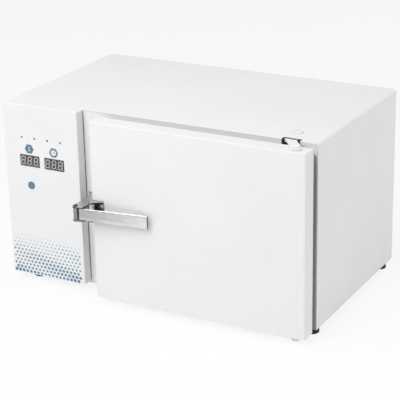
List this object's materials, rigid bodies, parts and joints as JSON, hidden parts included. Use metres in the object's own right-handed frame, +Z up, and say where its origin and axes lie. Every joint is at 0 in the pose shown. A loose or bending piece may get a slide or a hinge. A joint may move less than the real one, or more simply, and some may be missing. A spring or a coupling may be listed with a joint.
{
  "type": "dry heat sterilizer",
  "caption": "Benchtop hot air cabinet with a raised control panel, a side-hung door with a lever latch, and an insulated chamber with shelves.",
  "frame": {"origin": "on the bench, under the middle of the object's whole width and depth", "axes": "+Z up, +Y from the door to the rear cover, +X from the control panel to the hinged side"},
  "size_m": [0.54, 0.3778, 0.308],
  "materials": {
    "white_paint": "white powder coat, fine orange peel",
    "panel_paint": "white powder coat with a printed front",
    "door_paint": "white powder coat, fine orange peel",
    "hinge_paint": "white powder coat",
    "zinc_steel": "zinc plated",
    "dark_steel": "blackened",
    "roller_steel": "turned",
    "latch_steel": "brushed stainless",
    "chamber_steel": "satin stainless",
    "heater_sheath": "oxidised sheath",
    "wool": "mineral wool",
    "foot_rubber": "matte black rubber",
    "silicone": "red-brown silicone",
    "black_plastic": "moulded black",
    "cap_plastic": "off-white cap",
    "button_plastic": "blue",
    "display": "unlit seven-segment face",
    "indicator": "unlit lamp lens",
    "circuit_board": "green circuit board",
    "cable": "grey sleeve"
  },
  "bodies": {
    "cabinet": {"housing_shell": "white_paint", "base_plate": "white_paint", "front_frame": "white_paint", "rear_cover": "white_paint", "control_panel": "panel_paint", "bulkhead": "zinc_steel", "chamber_liner": "chamber_steel", "chamber_insulation": "wool", "chamber_floor": "chamber_steel", "left_shelf_rail": "chamber_steel", "right_shelf_rail": "chamber_steel", "lower_shelf": "chamber_steel", "upper_shelf": "chamber_steel", "chamber_heater": "heater_sheath", "temperature_probe": "zinc_steel", "thermal_cutout": "black_plastic", "control_board": "circuit_board", "temperature_display": "display", "time_display": "display", "indicator_1": "indicator", "indicator_2": "indicator", "indicator_3": "indicator", "indicator_4": "indicator", "button_switch": "black_plastic", "power_board": "circuit_board", "mains_loom": "cable", "signal_loom": "cable", "power_inlet": "black_plastic", "power_switch_body": "black_plastic", "foot_front_left": "foot_rubber", "foot_front_right": "foot_rubber", "foot_rear_left": "foot_rubber", "foot_rear_right": "foot_rubber", "foot_screw_front_left": "zinc_steel", "foot_screw_front_right": "zinc_steel", "foot_screw_rear_left": "zinc_steel", "foot_screw_rear_right": "zinc_steel", "top_hinge_arm": "hinge_paint", "top_hinge_pin": "hinge_paint", "hinge_cap_screw": "cap_plastic", "bottom_hinge_arm": "hinge_paint", "bottom_hinge_pin": "hinge_paint", "latch_keeper": "latch_steel", "keeper_pin": "dark_steel", "keeper_screw_lower": "zinc_steel", "keeper_screw_upper": "zinc_steel"},
    "door": {"door_skin": "door_paint", "door_inner_pan": "chamber_steel", "door_insulation": "wool", "door_gasket": "silicone", "top_hinge_bush": "black_plastic", "bottom_hinge_bush": "black_plastic", "latch_bracket": "latch_steel", "latch_screw_lower": "zinc_steel", "latch_screw_upper": "zinc_steel", "latch_pin": "zinc_steel"},
    "latch": {"latch_lever": "latch_steel"},
    "roller": {"keeper_roller": "roller_steel"},
    "button": {"program_button": "button_plastic"},
    "rocker": {"power_rocker": "black_plastic"}
  },
  "joints": [
    {"name": "door_hinge", "type": "hinge", "parent": "cabinet", "child": "door", "pos_m": [0.249, -0.1484, 0.157], "axis": [0, 0, 1], "range_deg": [0, 110]},
    {"name": "latch_pivot", "type": "hinge", "parent": "door", "child": "latch", "pos_m": [-0.087, -0.1734, 0.157], "axis": [0, 0, -1], "range_deg": [0, 70]},
    {"name": "roller_spin", "type": "hinge", "parent": "cabinet", "child": "roller", "pos_m": [-0.11, -0.1839, 0.157], "axis": [0, 0, 1], "continuous": true},
    {"name": "button_press", "type": "slide", "parent": "cabinet", "child": "button", "axis": [0, 1, 0], "range_m": [0, 0.0015], "stiffness_N_per_m": 800},
    {"name": "rocker_tilt", "type": "hinge", "parent": "cabinet", "child": "rocker", "pos_m": [-0.16, 0.1856, 0.07], "axis": [1, 0, 0], "range_deg": [-20, 0]}
  ]
}
